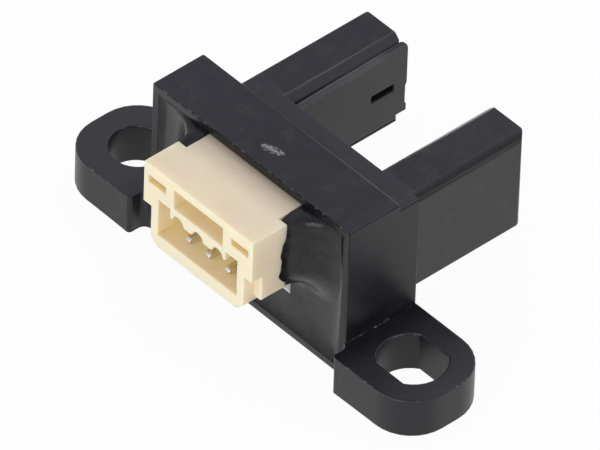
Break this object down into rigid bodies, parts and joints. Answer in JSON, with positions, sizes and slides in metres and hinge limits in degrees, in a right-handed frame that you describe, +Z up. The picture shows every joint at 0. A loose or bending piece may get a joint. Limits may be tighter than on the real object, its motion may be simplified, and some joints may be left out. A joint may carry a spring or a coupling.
{
  "type": "slotted optical switch",
  "caption": "Slotted photo-interrupter in a black case with two eared fixings, two arms across a slot, and a potted pin header.",
  "frame": {"origin": "on the flat underside, in the middle of the case below its end walls", "axes": "+X along the case towards the emitter arm's ear, +Y from the header towards the arms' tips, +Z up"},
  "size_m": [0.036, 0.0221, 0.0132],
  "materials": {
    "case_plastic": "satin black moulded",
    "plate_plastic": "satin black moulded",
    "emitter_epoxy": "clear moulded epoxy",
    "detector_epoxy": "dark moulded epoxy",
    "tin_plate": "bright tin plate",
    "board": "solder mask",
    "resistor": "black glaze",
    "capacitor": "tan fired body",
    "ivory_nylon": "natural moulded",
    "solder": "bright solder",
    "resin": "glossy cast resin"
  },
  "bodies": {
    "root": {"housing": "case_plastic", "slit_plate": "plate_plastic", "window_plate": "plate_plastic", "emitter_body": "emitter_epoxy", "detector_body": "detector_epoxy", "emitter_lead_1": "tin_plate", "emitter_lead_2": "tin_plate", "detector_lead_1": "tin_plate", "detector_lead_2": "tin_plate", "detector_lead_3": "tin_plate", "circuit_board": "board", "led_resistor": "resistor", "pull_up_resistor": "resistor", "bypass_capacitor": "capacitor", "connector_housing": "ivory_nylon", "contact_pin_1": "tin_plate", "contact_pin_2": "tin_plate", "contact_pin_3": "tin_plate", "pin_solder_1": "solder", "pin_solder_2": "solder", "pin_solder_3": "solder", "emitter_solder_1": "solder", "emitter_solder_2": "solder", "detector_solder_1": "solder", "detector_solder_2": "solder", "detector_solder_3": "solder", "potting_resin": "resin"}
  },
  "joints": []
}
